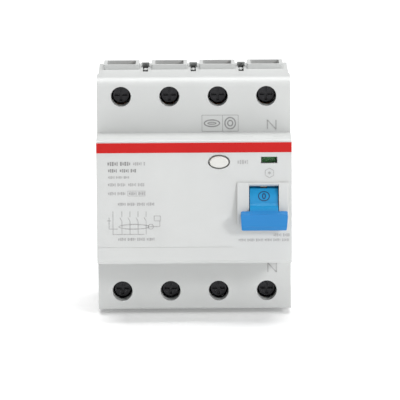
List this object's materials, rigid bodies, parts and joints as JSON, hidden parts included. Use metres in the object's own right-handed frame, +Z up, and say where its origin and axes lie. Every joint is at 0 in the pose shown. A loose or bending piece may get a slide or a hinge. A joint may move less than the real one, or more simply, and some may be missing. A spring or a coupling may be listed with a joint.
{
  "type": "residual current device",
  "caption": "Rail-mounted residual current device: pale housing with a stepped nose, side toggle, oval test button, indicator window and caged screw terminals.",
  "frame": {"origin": "middle of the face that rests on the rail", "axes": "+X right seen from the front, +Y to the rear, into the rail, +Z up"},
  "size_m": [0.07, 0.0743, 0.0886],
  "materials": {
    "housing": "satin moulded",
    "stripe": "satin",
    "lens": "clear",
    "flag": "matt",
    "toggle": "satin moulded",
    "button": "satin",
    "clip": "matt",
    "dark_steel": "dark phosphated",
    "zinc_steel": "zinc plated",
    "spring_steel": "bright wire",
    "copper": "bare copper",
    "silver": "silver alloy",
    "wire_sheath": "insulated",
    "core": "wound strip",
    "dark_plastic": "glass-filled",
    "relay_shell": "moulded",
    "resistor": "glazed"
  },
  "bodies": {
    "housing": {"arc_cheeks": "dark_plastic", "arc_plates": "zinc_steel", "clip_spring_left": "spring_steel", "clip_spring_right": "spring_steel", "core_case": "dark_plastic", "core_winding": "copper", "cover_screws": "zinc_steel", "fixed_tips": "silver", "flag_pin": "zinc_steel", "front_cover": "housing", "latch_pin": "zinc_steel", "lower_bars": "copper", "lower_contacts": "copper", "marking_stripe": "stripe", "mechanism_frame": "zinc_steel", "primary_conductors": "wire_sheath", "rear_base": "housing", "relay_case": "relay_shell", "summation_core": "core", "test_contact_leaf": "spring_steel", "test_resistor": "resistor", "toggle_pin": "zinc_steel", "toggle_spring": "spring_steel", "upper_bars": "copper", "window_lens": "lens"},
    "toggle": {"toggle": "toggle"},
    "link": {"link": "zinc_steel"},
    "contacts": {"contact_carrier": "dark_plastic", "guide_posts": "dark_plastic", "bridge_contacts": "copper", "bridge_tips": "silver", "contact_springs": "spring_steel"},
    "flag": {"indicator_flag": "flag"},
    "test_button": {"test_button": "button"},
    "relay_plunger": {"relay_plunger": "zinc_steel"},
    "trip_latch": {"trip_latch": "dark_plastic"},
    "rail_clip_left": {"rail_clip_left": "clip"},
    "rail_clip_right": {"rail_clip_right": "clip"},
    "screw_upper_1": {"terminal_screw_upper_1": "dark_steel"},
    "cage_upper_1": {"cage_clamp_upper_1": "zinc_steel"},
    "screw_upper_2": {"terminal_screw_upper_2": "dark_steel"},
    "cage_upper_2": {"cage_clamp_upper_2": "zinc_steel"},
    "screw_upper_3": {"terminal_screw_upper_3": "dark_steel"},
    "cage_upper_3": {"cage_clamp_upper_3": "zinc_steel"},
    "screw_upper_4": {"terminal_screw_upper_4": "dark_steel"},
    "cage_upper_4": {"cage_clamp_upper_4": "zinc_steel"},
    "screw_lower_1": {"terminal_screw_lower_1": "dark_steel"},
    "cage_lower_1": {"cage_clamp_lower_1": "zinc_steel"},
    "screw_lower_2": {"terminal_screw_lower_2": "dark_steel"},
    "cage_lower_2": {"cage_clamp_lower_2": "zinc_steel"},
    "screw_lower_3": {"terminal_screw_lower_3": "dark_steel"},
    "cage_lower_3": {"cage_clamp_lower_3": "zinc_steel"},
    "screw_lower_4": {"terminal_screw_lower_4": "dark_steel"},
    "cage_lower_4": {"cage_clamp_lower_4": "zinc_steel"}
  },
  "joints": [
    {"name": "toggle_swing", "type": "hinge", "parent": "housing", "child": "toggle", "pos_m": [0.025, -0.0535, -0.0002], "axis": [-1, 0, 0], "range_deg": [0, 43]},
    {"name": "link_pivot", "type": "hinge", "parent": "toggle", "child": "link", "pos_m": [0.025, -0.05548, 0.00461], "axis": [-1, 0, 0], "range_deg": [-43.5, 0.5]},
    {"name": "contacts_slide", "type": "slide", "parent": "housing", "child": "contacts", "axis": [0, 1, 0], "range_m": [0, 0.00383]},
    {"name": "flag_turn", "type": "hinge", "parent": "housing", "child": "flag", "pos_m": [0.0269, -0.051, 0.0152], "axis": [1, 0, 0], "range_deg": [0, 22.5]},
    {"name": "test_push", "type": "slide", "parent": "housing", "child": "test_button", "axis": [0, 1, 0], "range_m": [0, 0.0011], "stiffness_N_per_m": 1200, "springref_m": -0.001},
    {"name": "relay_trip", "type": "slide", "parent": "housing", "child": "relay_plunger", "axis": [0, 0, 1], "range_m": [0, 0.0011], "stiffness_N_per_m": 200, "springref_m": -0.0005},
    {"name": "latch_turn", "type": "hinge", "parent": "housing", "child": "trip_latch", "pos_m": [0.0114, -0.0462, 0.0032], "axis": [-1, 0, 0], "range_deg": [0, 10]},
    {"name": "screw_upper_1_turn", "type": "hinge", "parent": "housing", "child": "screw_upper_1", "pos_m": [-0.02625, -0.03, 0.03575], "axis": [0, 1, 0], "range_deg": [0, 3360]},
    {"name": "cage_upper_1_slide", "type": "slide", "parent": "housing", "child": "cage_upper_1", "axis": [0, -1, 0], "range_m": [0, 0.00746]},
    {"name": "screw_upper_2_turn", "type": "hinge", "parent": "housing", "child": "screw_upper_2", "pos_m": [-0.00875, -0.03, 0.03575], "axis": [0, 1, 0], "range_deg": [0, 3360]},
    {"name": "cage_upper_2_slide", "type": "slide", "parent": "housing", "child": "cage_upper_2", "axis": [0, -1, 0], "range_m": [0, 0.00746]},
    {"name": "screw_upper_3_turn", "type": "hinge", "parent": "housing", "child": "screw_upper_3", "pos_m": [0.00875, -0.03, 0.03575], "axis": [0, 1, 0], "range_deg": [0, 3360]},
    {"name": "cage_upper_3_slide", "type": "slide", "parent": "housing", "child": "cage_upper_3", "axis": [0, -1, 0], "range_m": [0, 0.00746]},
    {"name": "screw_upper_4_turn", "type": "hinge", "parent": "housing", "child": "screw_upper_4", "pos_m": [0.02625, -0.03, 0.03575], "axis": [0, 1, 0], "range_deg": [0, 3360]},
    {"name": "cage_upper_4_slide", "type": "slide", "parent": "housing", "child": "cage_upper_4", "axis": [0, -1, 0], "range_m": [0, 0.00746]},
    {"name": "screw_lower_1_turn", "type": "hinge", "parent": "housing", "child": "screw_lower_1", "pos_m": [-0.02625, -0.03, -0.03575], "axis": [0, 1, 0], "range_deg": [0, 3360]},
    {"name": "cage_lower_1_slide", "type": "slide", "parent": "housing", "child": "cage_lower_1", "axis": [0, -1, 0], "range_m": [0, 0.00746]},
    {"name": "screw_lower_2_turn", "type": "hinge", "parent": "housing", "child": "screw_lower_2", "pos_m": [-0.00875, -0.03, -0.03575], "axis": [0, 1, 0], "range_deg": [0, 3360]},
    {"name": "cage_lower_2_slide", "type": "slide", "parent": "housing", "child": "cage_lower_2", "axis": [0, -1, 0], "range_m": [0, 0.00746]},
    {"name": "screw_lower_3_turn", "type": "hinge", "parent": "housing", "child": "screw_lower_3", "pos_m": [0.00875, -0.03, -0.03575], "axis": [0, 1, 0], "range_deg": [0, 3360]},
    {"name": "cage_lower_3_slide", "type": "slide", "parent": "housing", "child": "cage_lower_3", "axis": [0, -1, 0], "range_m": [0, 0.00746]},
    {"name": "screw_lower_4_turn", "type": "hinge", "parent": "housing", "child": "screw_lower_4", "pos_m": [0.02625, -0.03, -0.03575], "axis": [0, 1, 0], "range_deg": [0, 3360]},
    {"name": "cage_lower_4_slide", "type": "slide", "parent": "housing", "child": "cage_lower_4", "axis": [0, -1, 0], "range_m": [0, 0.00746]},
    {"name": "rail_clip_left_slide", "type": "slide", "parent": "housing", "child": "rail_clip_left", "axis": [0, 0, -1], "range_m": [0, 0.003], "stiffness_N_per_m": 800, "springref_m": -0.0015, "deforming": ["clip_spring_left"]},
    {"name": "rail_clip_right_slide", "type": "slide", "parent": "housing", "child": "rail_clip_right", "axis": [0, 0, -1], "range_m": [0, 0.003], "stiffness_N_per_m": 800, "springref_m": -0.0015, "deforming": ["clip_spring_right"]}
  ],
  "couplings": [
    {"joint": "link_pivot", "follows": "toggle_swing", "ratio": -1},
    {"joint": "contacts_slide", "follows": "toggle_swing", "m_per_rad": 0.0050782},
    {"joint": "flag_turn", "follows": "toggle_swing", "ratio": 0.512},
    {"joint": "latch_turn", "follows": "relay_trip", "rad_per_m": 150},
    {"joint": "screw_upper_1_turn", "follows": "cage_upper_1_slide", "rad_per_m": 7854},
    {"joint": "screw_upper_2_turn", "follows": "cage_upper_2_slide", "rad_per_m": 7854},
    {"joint": "screw_upper_3_turn", "follows": "cage_upper_3_slide", "rad_per_m": 7854},
    {"joint": "screw_upper_4_turn", "follows": "cage_upper_4_slide", "rad_per_m": 7854},
    {"joint": "screw_lower_1_turn", "follows": "cage_lower_1_slide", "rad_per_m": 7854},
    {"joint": "screw_lower_2_turn", "follows": "cage_lower_2_slide", "rad_per_m": 7854},
    {"joint": "screw_lower_3_turn", "follows": "cage_lower_3_slide", "rad_per_m": 7854},
    {"joint": "screw_lower_4_turn", "follows": "cage_lower_4_slide", "rad_per_m": 7854}
  ]
}
